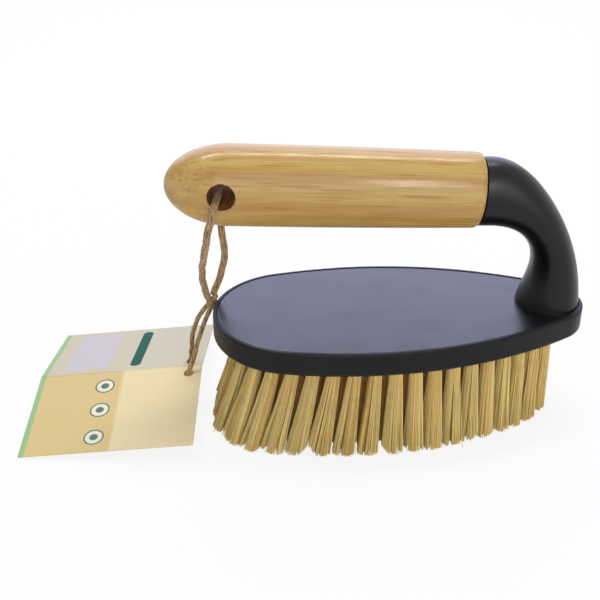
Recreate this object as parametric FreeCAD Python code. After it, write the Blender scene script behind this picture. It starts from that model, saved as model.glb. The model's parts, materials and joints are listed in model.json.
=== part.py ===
import FreeCAD, Part
import math
import os

# Hand scrub brush: an egg-shaped bristle block under a moulded deck whose arm curves up and
# forward to carry a bamboo grip, with a twine loop and a folded card tag tied to the grip.
# Frame: +X from the broad toe to the heel that carries the arm, +Y across, +Z up.
# The origin is on the floor under the middle of the block. All lengths are in millimetres.

Vector = FreeCAD.Vector
X_AXIS = Vector(1, 0, 0)
Y_AXIS = Vector(0, 1, 0)
Z_AXIS = Vector(0, 0, 1)

# Block outline from above: an egg of four tangent arcs, wider than its toe by the side bulge
base_length = 150.0
toe_radius = 33.0
heel_radius = 17.0
side_bulge = 3.25

# Block
block_height = 10.2
rim_wall = 1.5
rim_round = 0.7
under_round = 1.8
edge_wall = 1.6
hole_web = 1.6
cut_overrun = 1.0

# Deck plate of the moulded cover, let into the rim
deck_thickness = 3.0
seam_gap = 0.15
deck_drop = 0.2
deck_round = 0.3

# Tufts, folded over flat wire anchors in blind holes
bristle_length = 35.8
tuft_root = 5.0
tuft_tip = 6.9
tip_gap = 0.8
least_tip_gap = 0.2
hole_gap = 0.1
toe_sweep = 9.5
toe_margin = 5.0
toe_sweep_reach = 50.0
middle_sweep_share = 0.75
heel_margin = 7.0
heel_sweep = 2.5
side_splay = 3.2
ring_names = ("outer_ring", "second_ring", "third_ring")
row_names = ("middle_row", "inner_rows")
anchor_height = 1.5
anchor_thickness = 0.4
anchor_bite = 0.6
anchor_gap = 0.05
anchor_cover = 0.7

# Self-tapping screws that hold the block to the cover, driven from the bristle side
screw_shank = 3.0
screw_head = 5.6
screw_head_height = 1.9
screw_head_round_share = 0.3
screw_recess = 2.7
screw_web = 1.1
screw_slot_width = 0.9
screw_slot_depth = 0.8
screw_slot_share = 0.6
screw_cover = 0.8
screw_gap = 0.1
screw_wall = 0.4
screw_place_shares = (-0.308, 0.154, 0.359)
boss_diameter = 7.0
boss_gap = 0.2

# Bamboo grip: a barrel that swells towards an ellipsoid nose, flattened across
grip_length = 119.8
grip_end_height = 29.5
grip_swell = 1.0
grip_depth = 26.0
grip_nose = 25.0
grip_end_round = 2.6
grip_rise_deg = 3.2
grip_sections = 4
finger_gap = 34.65
hang_hole = 10.5
hang_hole_place = 21.0
spigot_diameter = 13.0
spigot_length = 26.0
spigot_gap = 0.15
shoulder_gap = 0.3

# Arm: the back is a short flat and two arcs, the inside a flat, one arc and a straight run to the deck
neck_height = 27.0
neck_drop = 0.5
neck_depth = 21.6
back_flat = 1.8
back_upper_radius = 27.1
back_upper_turn_deg = 43.4
back_lower_radius = 85.6
crook_flat = 7.75
crook_radius = 17.3
crook_turn_deg = 104.4
foot_depth = 25.0
foot_egg_share = 0.08
foot_inset = 0.25
arm_sections = 7

# Twine: one route through the hang hole, and two tails down to the holes of the tag's halves
twine_diameter = 2.3
loop_knot_diameter = 6.4
tag_knot_diameter = 5.0
loop_knot_place = Vector(-75.8, 14.6, 44.0)
loop_points = (
    (-76.9, 13.4, 46.0), (-78.2, 9.6, 53.4), (-78.8, 4.4, 61.0), (-78.5, -1.8, 68.4),
    (-77.2, -8.2, 76.2), (-75.5, -12.9, 83.8), (-73.9, -14.7, 90.2), (-72.1, -14.9, 95.4),
    (-70.9, -12.2, 98.1), (-70.6, -7.4, 98.1), (-70.4, 0.1, 97.8), (-70.4, 7.4, 98.1),
    (-70.5, 12.2, 98.1), (-70.8, 14.9, 95.3), (-70.9, 14.8, 89.8), (-70.2, 13.7, 82.0),
    (-69.2, 13.2, 73.2), (-69.4, 13.5, 64.8), (-71.2, 14.1, 56.8), (-73.6, 14.9, 50.2),
    (-74.6, 15.6, 46.2),
)
left_tail_points = (
    (-77.6, 14.9, 41.9), (-80.8, 15.6, 36.8), (-83.3, 16.5, 30.6), (-84.6, 17.1, 24.2),
    (-84.9, 17.2, 18.4), (-85.66, 16.57, 12.8),
)
right_tail_points = (
    (-75.2, 14.1, 41.7), (-77.7, 13.0, 37.2), (-80.2, 11.8, 31.6), (-82.2, 10.3, 25.6),
    (-84.1, 8.8, 19.6), (-85.9, 7.8, 14.8), (-86.3, 7.8, 10.0),
)
route_arc_share = 0.45

# Tag: a card folded once, lying as a low tent with its ridge raised at the twine
card_thickness = 0.5
tag_length = 69.3
tag_depth = 46.4
tag_left_place = -149.4
tag_ridge_place = 18.3
tag_yaw_deg = -5.45
tag_pitch_deg = 5.65
tag_slope_deg = 8.6
tag_lift = 0.1
tag_hole = 4.0
tag_hole_from_ridge = 4.4
tag_hole_from_end = 5.4
fold_gap = 0.25
tag_knot_gap = 0.2

# Levels and spacings worked out from the sizes above
base_width = 2 * (toe_radius + side_bulge)
under_level = bristle_length
deck_level = under_level + block_height
deck_top = deck_level - deck_drop
recess_floor = deck_top - deck_thickness
hole_top = recess_floor - hole_web
hole_depth = hole_top - under_level
tuft_hole = tuft_root + 2 * hole_gap
tuft_pitch = tuft_tip + tip_gap
least_pitch = tuft_tip + least_tip_gap
ring_inset = under_round + edge_wall + tuft_hole / 2
screw_seat = under_level + screw_recess
boss_low = screw_seat + screw_web + boss_gap
screw_space = boss_diameter / 2 + boss_gap + tuft_hole / 2 + anchor_bite + anchor_gap + screw_wall
grip_rise = math.radians(grip_rise_deg)
grip_axis = Vector(-math.cos(grip_rise), 0, math.sin(grip_rise))
grip_up = Vector(math.sin(grip_rise), 0, math.cos(grip_rise))
grip_end_level = deck_top + finger_gap + grip_end_height / 2


def walk_arc(start, heading, radius, turn):
    """Point and heading after a clockwise arc in the XZ plane."""
    centre = start + Vector(math.sin(heading), 0, -math.cos(heading)) * radius
    new_heading = heading - turn
    end = centre + Vector(-math.sin(new_heading), 0, math.cos(new_heading)) * radius
    return end, new_heading


def walk_line(start, heading, length):
    return start + Vector(math.cos(heading), 0, math.sin(heading)) * length


def back_line(top):
    """The arm's back, from the top of the neck down to the deck, as a flat and two tangent arcs."""
    upper_turn = math.radians(back_upper_turn_deg)
    flat_end = walk_line(top, -grip_rise, back_flat)
    upper_middle = walk_arc(flat_end, -grip_rise, back_upper_radius, upper_turn / 2)[0]
    upper_end, heading = walk_arc(flat_end, -grip_rise, back_upper_radius, upper_turn)
    lower_centre_level = upper_end.z - back_lower_radius * math.cos(heading)
    lower_turn = heading + math.acos((deck_top - lower_centre_level) / back_lower_radius)
    lower_middle = walk_arc(upper_end, heading, back_lower_radius, lower_turn / 2)[0]
    lower_end = walk_arc(upper_end, heading, back_lower_radius, lower_turn)[0]
    return [
        Part.LineSegment(top, flat_end),
        Part.Arc(flat_end, upper_middle, upper_end),
        Part.Arc(upper_end, lower_middle, lower_end),
    ]


def inside_line(bottom):
    """The arm's inside, from the bottom of the neck down to the deck."""
    crook_turn = math.radians(crook_turn_deg)
    flat_end = walk_line(bottom, -grip_rise, crook_flat)
    crook_middle = walk_arc(flat_end, -grip_rise, crook_radius, crook_turn / 2)[0]
    crook_end, heading = walk_arc(flat_end, -grip_rise, crook_radius, crook_turn)
    toe = walk_line(crook_end, heading, (deck_top - crook_end.z) / math.sin(heading))
    return [
        Part.LineSegment(bottom, flat_end),
        Part.Arc(flat_end, crook_middle, crook_end),
        Part.LineSegment(crook_end, toe),
    ]


def neck_edges(place):
    """Top and bottom of the neck, which sits a little below the grip's axis at place."""
    return place + grip_up * (neck_height / 2 - neck_drop), place - grip_up * (neck_height / 2 + neck_drop)


def neck_place():
    """Where the grip's axis meets the neck, so that the arm's back comes down just inside the rim."""
    place = Vector(0, 0, grip_end_level - grip_axis.z * shoulder_gap)
    reach = back_line(neck_edges(place)[0])[-1].EndPoint.x
    place.x = base_length / 2 - rim_wall - seam_gap - foot_inset - reach
    return place


neck = neck_place()
grip_end = neck + grip_axis * shoulder_gap


def egg_wire(length, width, toe, heel, level):
    """Closed egg of tangent arcs from the heel end: toe and heel circles joined by two side arcs."""
    toe_x = toe - length / 2
    heel_x = length / 2 - heel
    half = width / 2
    slope = (toe - heel) / (toe_x - heel_x)
    offset = (toe_x ** 2 - heel_x ** 2 - toe ** 2 + heel ** 2) / (2 * (toe_x - heel_x))
    linear = (offset - toe_x) * slope - half + toe
    constant = (offset - toe_x) ** 2 + half ** 2 - toe ** 2
    side = constant / (math.sqrt(linear ** 2 - slope ** 2 * constant) - linear)
    side_x = offset + slope * side
    side_y = half - side
    toe_angle = math.atan2(-side_y, toe_x - side_x)
    heel_angle = math.atan2(-side_y, heel_x - side_x)

    def on_side(angle, sign):
        x = side_x + side * math.cos(angle)
        y = side_y + side * math.sin(angle)
        return Vector(x, sign * y, level)

    def on_heel(sign):
        x = heel_x + heel * math.cos(heel_angle / 2)
        y = heel * math.sin(heel_angle / 2)
        return Vector(x, sign * y, level)

    quarter = math.pi / 2
    toe_end = Vector(-length / 2, 0, level)
    heel_end = Vector(length / 2, 0, level)
    edges = [
        Part.Arc(heel_end, on_heel(1), on_side(heel_angle, 1)),
        Part.Arc(on_side(heel_angle, 1), on_side(quarter, 1), on_side(toe_angle, 1)),
        Part.Arc(on_side(toe_angle, 1), toe_end, on_side(toe_angle, -1)),
        Part.Arc(on_side(toe_angle, -1), on_side(quarter, -1), on_side(heel_angle, -1)),
        Part.Arc(on_side(heel_angle, -1), on_heel(-1), heel_end),
    ]
    return Part.Wire([edge.toShape() for edge in edges])


def rim_egg(inset, level):
    """Egg parallel to the rim, drawn in by inset."""
    length = base_length - 2 * inset
    width = base_width - 2 * inset
    heel = max(heel_radius - inset, tuft_root / 2)
    return egg_wire(length, width, toe_radius - inset, heel, level)


def tuft_egg(inset):
    """Egg for a ring of tufts: parallel to the rim, but further from it at the toe and the heel."""
    length = base_length - 2 * inset - toe_margin - heel_margin
    width = base_width - 2 * inset
    heel = max(heel_radius - inset, tuft_root / 2)
    egg = egg_wire(length, width, toe_radius - inset, heel, 0)
    egg.translate(X_AXIS * ((toe_margin - heel_margin) / 2))
    return egg


def prism(wire, height):
    return Part.Face(wire).extrude(Vector(0, 0, height))


def edges_at(shape, level):
    """Edges that lie wholly in one horizontal plane."""
    near = seam_gap / 10
    boxes = [(edge, edge.BoundBox) for edge in shape.Edges]
    return [edge for edge, box in boxes if max(abs(box.ZMin - level), abs(box.ZMax - level)) < near]


def screw_places():
    return [Vector(share * base_length, 0, 0) for share in screw_place_shares]


def ring_places(inset):
    """Places at even steps along a ring of tufts."""
    wire = tuft_egg(inset)
    count = round(wire.Length / tuft_pitch)
    return wire.discretize(Number=count + 1)[:-1]


def row_places(inset):
    """Staggered rows within a ring of tufts, by name, with one place at the origin."""
    half_width = base_width / 2 - inset
    rows = int(half_width / least_pitch)
    reach = int(base_length / 2 / tuft_pitch)
    field = Part.Face(tuft_egg(inset))
    places = {name: [] for name in row_names}
    for row in range(1 - rows, rows):
        name = row_names[min(abs(row), len(row_names) - 1)]
        stagger = row % 2 / 2
        for index in range(-reach, reach + 1):
            place = Vector((index + stagger) * tuft_pitch, half_width * row / rows, 0)
            if field.isInside(place, hole_gap, True):
                places[name].append(place)
    return places


def tip_place(root):
    """Where a tuft meets the floor: the sides splay out and both halves sweep forward."""
    side_share = root.y / (base_width / 2 - ring_inset)
    if root.x < 0:
        reach_share = min(-root.x / toe_sweep_reach, 1)
        side_part = middle_sweep_share + (1 - middle_sweep_share) * abs(side_share)
        sweep = -toe_sweep * reach_share * side_part
    else:
        reach_share = root.x / (base_length / 2 - ring_inset)
        sweep = -heel_sweep * reach_share ** 2
    return Vector(root.x + sweep, root.y + side_splay * side_share, 0)


def clear_of(place, others, space):
    return all(place.distanceToPoint(other) >= space for other in others)


def tuft_groups():
    """Rings from the rim inwards, then the rows within them, skipping places with no room."""
    insets = [ring_inset + number * tuft_pitch for number in range(len(ring_names))]
    candidates = {name: ring_places(inset) for name, inset in zip(ring_names, insets)}
    candidates.update(row_places(insets[-1]))
    roots = []
    tips = []
    groups = {}
    for name, places in candidates.items():
        groups[name] = []
        for place in places:
            tip = tip_place(place)
            roomy = clear_of(place, roots, least_pitch) and clear_of(tip, tips, least_pitch)
            if roomy and clear_of(place, screw_places(), screw_space):
                groups[name].append(place)
                roots.append(place)
                tips.append(tip)
    return groups


def circle_wire(centre, radius):
    return Part.Wire(Part.Circle(centre, Z_AXIS, radius).toShape())


def anchor_box(place, gap, low):
    """Flat wire anchor across a tuft hole, along X, grown by gap and reaching down to low."""
    length = tuft_hole + 2 * anchor_bite + 2 * gap
    width = anchor_thickness + 2 * gap
    corner = Vector(place.x - length / 2, place.y - width / 2, low)
    return Part.makeBox(length, width, hole_top - anchor_cover + gap - low, corner)


def make_anchor(place):
    return anchor_box(place, 0, hole_top - anchor_cover - anchor_height)


def make_tuft(place):
    """One bundle: a plug in its hole, slotted for the anchor, and a leaning flared bundle."""
    root = Vector(place.x, place.y, under_level)
    plug = Part.makeCylinder(tuft_root / 2, hole_depth - hole_gap, root)
    slot_low = hole_top - anchor_cover - anchor_height - anchor_gap
    plug = plug.cut(anchor_box(place, anchor_gap, slot_low))
    rings = [circle_wire(tip_place(place), tuft_tip / 2), circle_wire(root, tuft_root / 2)]
    return Part.makeLoft(rings, True, True).fuse(plug)


def hole_tool(place):
    """Cutter for one blind hole and the two grooves that its driven anchor leaves."""
    start = Vector(place.x, place.y, under_level - cut_overrun)
    bore = Part.makeCylinder(tuft_hole / 2, hole_top - start.z, start)
    return bore.fuse(anchor_box(place, anchor_gap, start.z))


def screw_tools(place):
    """Cutters for a screw's head recess and shank, and for the boss pocket above them."""
    low = Vector(place.x, place.y, under_level - cut_overrun)
    pocket = Vector(place.x, place.y, screw_seat + screw_web)
    return [
        Part.makeCylinder(screw_head / 2 + boss_gap, screw_seat - low.z, low),
        Part.makeCylinder(screw_shank / 2 + screw_gap, block_height, low),
        Part.makeCylinder(boss_diameter / 2 + boss_gap, block_height, pocket),
    ]


def make_bristle_block(places):
    """Egg-shaped block with a raised rim, tuft holes below and boss pockets above."""
    block = prism(rim_egg(0, under_level), block_height)
    block = block.makeFillet(under_round, edges_at(block, under_level))
    block = block.makeFillet(rim_round, edges_at(block, deck_level))
    block = block.cut(prism(rim_egg(rim_wall, recess_floor), block_height))
    tools = [hole_tool(place) for place in places]
    for place in screw_places():
        tools += screw_tools(place)
    return block.cut(Part.makeCompound(tools))


def oval_wire(widest, up, down, half_depth):
    """Two half ellipses that share their widest line, reaching up on one side and down on the other."""
    normal = up.cross(Y_AXIS)
    halves = []
    for reach, start in ((up, -math.pi / 2), (-down, math.pi / 2)):
        half = Part.Arc(Part.Circle(), start, start + math.pi).toShape()
        spread = FreeCAD.Matrix(
            reach.x, 0, normal.x, widest.x,
            reach.y, half_depth, normal.y, widest.y,
            reach.z, 0, normal.z, widest.z,
        )
        halves.append(half.transformGeometry(spread))
    return Part.Wire(halves)


def arm_section(back, inside, share):
    """Section across the arm, from neck at share 0 to foot at share 1."""
    half_depth = (neck_depth + (foot_depth - neck_depth) * share ** 2) / 2
    widest = inside + (back - inside) * (0.5 + foot_egg_share * share ** 2)
    return oval_wire(widest, back - widest, inside - widest, half_depth)


def make_arm():
    top, bottom = neck_edges(neck)
    lines = back_line(top), inside_line(bottom)
    wires = [Part.Wire([edge.toShape() for edge in line]) for line in lines]
    back, inside = [wire.discretize(Number=arm_sections) for wire in wires]
    last = arm_sections - 1
    sections = [arm_section(back[index], inside[index], index / last) for index in range(arm_sections)]
    return Part.makeLoft(sections, True, False)


def make_arm_cover():
    """Deck plate, arm, grip spigot and screw bosses in one moulding."""
    plate = prism(rim_egg(rim_wall + seam_gap, recess_floor), deck_thickness)
    plate = plate.makeFillet(deck_round, edges_at(plate, deck_top))
    spigot_start = neck - grip_axis * cut_overrun
    spigot_run = spigot_length + shoulder_gap + cut_overrun
    pieces = [make_arm(), Part.makeCylinder(spigot_diameter / 2, spigot_run, spigot_start, grip_axis)]
    pilots = []
    for place in screw_places():
        low = Vector(place.x, place.y, boss_low)
        pieces.append(Part.makeCylinder(boss_diameter / 2, recess_floor - boss_low, low))
        depth = deck_top - screw_cover - boss_low
        pilots.append(Part.makeCylinder((screw_shank + screw_gap) / 2, depth, low))
    return plate.fuse(pieces).cut(pilots)


def make_screw(place):
    """Pan-head self-tapping screw, head down in its recess, with a crossed drive slot."""
    top = deck_top - screw_cover - screw_gap
    head_low = Vector(place.x, place.y, screw_seat - screw_head_height)
    head = Part.makeCylinder(screw_head / 2, screw_head_height, head_low)
    head = head.makeFillet(screw_head_height * screw_head_round_share, edges_at(head, head_low.z))
    seat = Vector(place.x, place.y, screw_seat)
    shank = Part.makeCylinder(screw_shank / 2, top - screw_seat, seat)
    slot_length = screw_head * screw_slot_share
    slots = []
    for along, across in ((slot_length, screw_slot_width), (screw_slot_width, slot_length)):
        corner = Vector(place.x - along / 2, place.y - across / 2, head_low.z - cut_overrun)
        slots.append(Part.makeBox(along, across, screw_slot_depth + cut_overrun, corner))
    return head.fuse(shank).cut(slots)


def grip_barrel(body):
    """Straight part of the grip along +X, its height swelling on one long arc to the nose."""
    swell_radius = (body ** 2 + grip_swell ** 2) / (2 * grip_swell)
    end_half = grip_end_height / 2
    depth_share = grip_depth / (grip_end_height + 2 * grip_swell)
    sections = []
    for index in range(grip_sections):
        along = body * index / (grip_sections - 1)
        rise = math.sqrt(swell_radius ** 2 - (body - along) ** 2) - swell_radius + grip_swell
        up = Z_AXIS * (end_half + rise)
        sections.append(oval_wire(X_AXIS * along, up, -up, up.z * depth_share))
    barrel = Part.makeLoft(sections, True, False)
    end_edges = [edge for edge in barrel.Edges if edge.BoundBox.XMax < grip_end_round]
    return barrel.makeFillet(grip_end_round, end_edges)


def make_grip():
    """Barrel and half-ellipsoid nose, bored for the spigot and across for the hang hole."""
    body = grip_length - grip_nose
    stretch = FreeCAD.Matrix()
    stretch.scale(grip_nose, grip_depth / 2, grip_end_height / 2 + grip_swell)
    nose = Part.makeSphere(1, Vector(), X_AXIS, 0, 90, 360).transformGeometry(stretch)
    nose.translate(X_AXIS * body)
    bore_radius = spigot_diameter / 2 + spigot_gap
    bore_run = spigot_length + spigot_gap + cut_overrun
    bore = Part.makeCylinder(bore_radius, bore_run, X_AXIS * -cut_overrun, X_AXIS)
    hole_start = Vector(grip_length - hang_hole_place, -grip_depth, 0)
    hole = Part.makeCylinder(hang_hole / 2, 2 * grip_depth, hole_start, Y_AXIS)
    grip = grip_barrel(body).fuse(nose).cut([bore, hole])
    grip.rotate(Vector(), Y_AXIS, 180 + grip_rise_deg)
    grip.translate(grip_end)
    return grip


def make_route(points):
    """Route of straight runs joined by tangent arcs as large as the runs allow."""
    corners = [Vector(*point) for point in points]
    edges = []
    radii = []
    start = corners[0]
    for before, corner, after in zip(corners, corners[1:], corners[2:]):
        back = before - corner
        ahead = after - corner
        turn = math.pi - back.getAngle(ahead)
        tangent = route_arc_share * min(back.Length, ahead.Length)
        radius = tangent / math.tan(turn / 2)
        back.normalize()
        ahead.normalize()
        middle_way = back + ahead
        middle_way.normalize()
        arc_start = corner + back * tangent
        arc_end = corner + ahead * tangent
        depth = radius / math.cos(turn / 2) - radius
        edges.append(Part.LineSegment(start, arc_start).toShape())
        edges.append(Part.Arc(arc_start, corner + middle_way * depth, arc_end).toShape())
        radii.append(round(radius, 1))
        start = arc_end
    edges.append(Part.LineSegment(start, corners[-1]).toShape())
    return Part.Wire(edges), radii


def make_twine(name, points):
    """Plain round tube along a route, with its radii, length and volume printed."""
    path, radii = make_route(points)
    first = path.Edges[0]
    direction = first.tangentAt(first.FirstParameter)
    section = Part.Wire(Part.Circle(Vector(*points[0]), direction, twine_diameter / 2).toShape())
    tube = path.makePipeShell([section], True, False)
    volume_share = tube.Volume / (path.Length * math.pi * twine_diameter ** 2 / 4)
    print(name, "radii", radii)
    print(name, "length", round(path.Length, 2), "volume share", round(volume_share, 4))
    return tube


def tag_frame():
    """Left end of the ridge, direction along it, and directions down the near and far panels."""
    yaw = math.radians(tag_yaw_deg)
    pitch = math.radians(tag_pitch_deg)
    slope = math.radians(tag_slope_deg)
    ridge = Vector(math.cos(yaw) * math.cos(pitch), math.sin(yaw) * math.cos(pitch), math.sin(pitch))
    side = Vector(-math.sin(yaw), math.cos(yaw), 0)
    up = ridge.cross(side)
    height = tag_depth * math.cos(pitch) * math.sin(slope) + tag_lift
    start = Vector(tag_left_place, tag_ridge_place, height)
    near = side * -math.cos(slope) - up * math.sin(slope)
    far = side * math.cos(slope) - up * math.sin(slope)
    return start, ridge, near, far


def tag_hole_centre(panel):
    start, ridge, _, _ = tag_frame()
    return start + ridge * (tag_length - tag_hole_from_end) + panel * tag_hole_from_ridge


def make_tag_panel(panel, normal):
    """One rectangular half of the folded card, punched near the ridge's raised end."""
    start, ridge, _, _ = tag_frame()
    first = start + panel * fold_gap
    second = start + panel * tag_depth
    along = ridge * tag_length
    corners = [first, first + along, second + along, second, first]
    card = Part.Face(Part.makePolygon(corners)).extrude(normal * card_thickness)
    low = tag_hole_centre(panel) - normal * cut_overrun
    punch = Part.makeCylinder(tag_hole / 2, card_thickness + 2 * cut_overrun, low, normal)
    return card.cut(punch)


def make_tag_knot():
    """Small stopper knot under the near panel, centred on the punched hole."""
    _, ridge, near, _ = tag_frame()
    drop = near.cross(ridge) * (tag_knot_diameter / 2 + tag_knot_gap)
    return Part.makeSphere(tag_knot_diameter / 2, tag_hole_centre(near) - drop)


def main():
    os.makedirs("parts", exist_ok=True)
    groups = tuft_groups()
    every_place = [place for places in groups.values() for place in places]
    _, ridge, near, far = tag_frame()
    nodes = {
        "bristle_block": make_bristle_block(every_place),
        "arm_cover": make_arm_cover(),
        "grip": make_grip(),
        "cover_screws": Part.makeCompound([make_screw(place) for place in screw_places()]),
        "twine_loop": make_twine("twine_loop", loop_points),
        "twine_left_tail": make_twine("twine_left_tail", left_tail_points),
        "twine_right_tail": make_twine("twine_right_tail", right_tail_points),
        "loop_knot": Part.makeSphere(loop_knot_diameter / 2, loop_knot_place),
        "tag_knot": make_tag_knot(),
        "tag_near_panel": make_tag_panel(near, near.cross(ridge)),
        "tag_far_panel": make_tag_panel(far, ridge.cross(far)),
    }
    for group, places in groups.items():
        nodes[group + "_tufts"] = Part.makeCompound([make_tuft(place) for place in places])
        nodes[group + "_anchors"] = Part.makeCompound([make_anchor(place) for place in places])
    for name, shape in nodes.items():
        shape.exportStep("parts/" + name + ".step")
        print(name, len(shape.Solids), "solids", round(shape.Volume, 1), "valid", shape.isValid())


main()
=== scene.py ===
"""Scrub brush: bamboo grip on a moulded arm, plant-fibre tufts, a twine loop and a folded card tag."""
import json
import logging
import math
import random
from collections.abc import Iterable, Sequence
from dataclasses import dataclass
from enum import Enum

import bmesh
import bpy
from bpy.types import Material, Mesh, NodeSocket as Socket, Object
from mathutils import Matrix, Quaternion, Vector


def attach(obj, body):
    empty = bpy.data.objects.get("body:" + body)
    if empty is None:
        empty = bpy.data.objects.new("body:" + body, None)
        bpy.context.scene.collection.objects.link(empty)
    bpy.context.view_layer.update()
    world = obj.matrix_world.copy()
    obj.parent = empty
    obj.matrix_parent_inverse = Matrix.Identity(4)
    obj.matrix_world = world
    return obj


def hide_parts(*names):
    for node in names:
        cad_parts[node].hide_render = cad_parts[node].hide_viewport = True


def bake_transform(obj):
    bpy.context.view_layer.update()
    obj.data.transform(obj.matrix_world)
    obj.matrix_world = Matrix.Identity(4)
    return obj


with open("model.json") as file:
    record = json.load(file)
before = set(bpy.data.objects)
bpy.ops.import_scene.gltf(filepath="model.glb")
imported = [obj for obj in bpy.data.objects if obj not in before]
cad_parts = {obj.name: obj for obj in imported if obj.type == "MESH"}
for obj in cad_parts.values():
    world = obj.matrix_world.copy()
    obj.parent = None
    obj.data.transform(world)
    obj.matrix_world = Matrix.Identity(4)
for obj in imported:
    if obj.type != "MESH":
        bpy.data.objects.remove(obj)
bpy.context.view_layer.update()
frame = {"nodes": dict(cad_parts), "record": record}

LOG = logging.getLogger("scrub_brush")
MM = 0.001
GOLDEN_ANGLE = math.pi * (3 - math.sqrt(5))
LINE_STEPS = 12
WHITE = (1.0, 1.0, 1.0, 1.0)
Span = tuple[float, ...]
Line = list[tuple[Vector, float]]


class Body(Enum):
    """The rigid bodies that pieces ride on."""

    BRUSH = "brush"
    LOOP = "hang_loop"
    TAG_FAR = "tag_far"


class Slot(Enum):
    """Names of material slots in the record."""

    BAMBOO = "bamboo"
    FIBRE = "plant_fibre"
    TWINE = "jute_twine"
    CARD = "kraft_card"


def linear(code: str) -> tuple[float, float, float, float]:
    """Turn an sRGB hex value into a linear colour.

    Args:
        code: Colour such as "#A1B2C3".

    Returns:
        Red, green, blue and an alpha of 1.
    """
    shares = [int(code[index:index + 2], 16) / 255 for index in (1, 3, 5)]
    parts = [
        share / 12.92 if share <= 0.04045 else ((share + 0.055) / 1.055) ** 2.4 for share in shares]
    return (parts[0], parts[1], parts[2], 1.0)


@dataclass(frozen=True)
class Layer:
    """A colour over those below it, shown by a noise or, without a size, by each fibre's own chance.

    A stretch below 1 draws the pattern out along that axis.
    """

    colour: str
    shown: Span = (0.0, 1.0)
    size_mm: float = 0.0
    detail: float = 2.0
    stretch: Span = (1.0, 1.0, 1.0)


class Paint:
    """Adds nodes to the tree of one material or world."""

    def __init__(self, tree: bpy.types.NodeTree) -> None:
        """Start from the tree's own nodes."""
        self.tree = tree

    def fill(self, name: str, sockets: dict) -> None:
        """Give a node's inputs their values and links.

        Args:
            name: The node's name in the tree.
            sockets: Value or output socket for each input, by name or number.
        """
        inputs = self.tree.nodes[name].inputs
        for key, value in sockets.items():
            if isinstance(value, Socket):
                self.tree.links.new(value, inputs[key])
            else:
                inputs[key].default_value = value

    def add(self, kind: str, output: str | int, sockets: dict | None = None, **settings) -> Socket:
        """Add a node with its settings, values and links.

        Args:
            kind: Blender's name of the node type, without its prefix.
            output: Name or number of the output that is used.
            sockets: Value or output socket for each input, by name or number.
            **settings: The node's own properties.

        Returns:
            The output's socket.
        """
        node = self.tree.nodes.new("ShaderNode" + kind)
        for key, value in settings.items():
            setattr(node, key, value)
        self.fill(node.name, sockets or {})
        return node.outputs[output]

    def place(self) -> Socket:
        """Place on the object, in the shared frame."""
        return self.add("TexCoord", "Object")

    def axes(self, place: Socket) -> bpy.types.NodeOutputs:
        """A place's X, Y and Z."""
        return self.add("SeparateXYZ", "X", {"Vector": place}).node.outputs

    def noise(self, place: Socket, size: float, detail: float) -> Socket:
        """Noise with features size millimetres wide."""
        return self.add("TexNoise", "Fac", {"Vector": place, "Scale": 1 / (size * MM), "Detail": detail})

    def ramp(self, value: Socket, low: float, high: float, to_low: float = 0.0,
             to_high: float = 1.0) -> Socket:
        """Map the range from low to high to another one, held at both ends."""
        return self.add("MapRange", "Result", {
            "Value": value, "From Min": low, "From Max": high, "To Min": to_low, "To Max": to_high})

    def relief(self, height: Socket, depth: float, strength: float | Socket) -> Socket:
        """Normal of a fine relief, depth millimetres deep."""
        return self.add("Bump", "Normal", {"Height": height, "Distance": depth * MM, "Strength": strength})

    def mix(self, share: Socket, first: str | Socket, second: str | Socket) -> Socket:
        """Mix two colours, hex values or sockets, with a share of the second."""
        ends = [linear(end) if isinstance(end, str) else end for end in (first, second)]
        return self.add("Mix", 2, {0: share, 6: ends[0], 7: ends[1]}, data_type="RGBA")

    def lay(self, colour: str | Socket, place: Socket, *layers: Layer) -> tuple[Socket, list[Socket]]:
        """Lay colours over each other.

        Args:
            colour: The lowest colour.
            place: Place in which the patterns are drawn.
            *layers: What lies over it, in order.

        Returns:
            The colour, and the pattern of each layer.
        """
        patterns = []
        for layer in layers:
            if layer.size_mm:
                drawn = self.add("Mapping", "Vector", {"Vector": place, "Scale": layer.stretch})
                patterns.append(self.noise(drawn, layer.size_mm, layer.detail))
            else:
                patterns.append(self.add("NewGeometry", "Random Per Island"))
            colour = self.mix(self.ramp(patterns[-1], *layer.shown), colour, layer.colour)
        return colour, patterns


@dataclass(frozen=True)
class Finish:
    """A finish, named for the real material."""

    name: str

    def look(self, paint: Paint) -> dict:
        """The Principled shader's values and sockets."""
        raise NotImplementedError

    def build(self) -> Material:
        """Make the material.

        Returns:
            The material, with one Principled shader.
        """
        material = bpy.data.materials.new(self.name)
        material.use_nodes = True
        paint = Paint(material.node_tree)
        paint.fill("Principled BSDF", self.look(paint))
        return material


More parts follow.
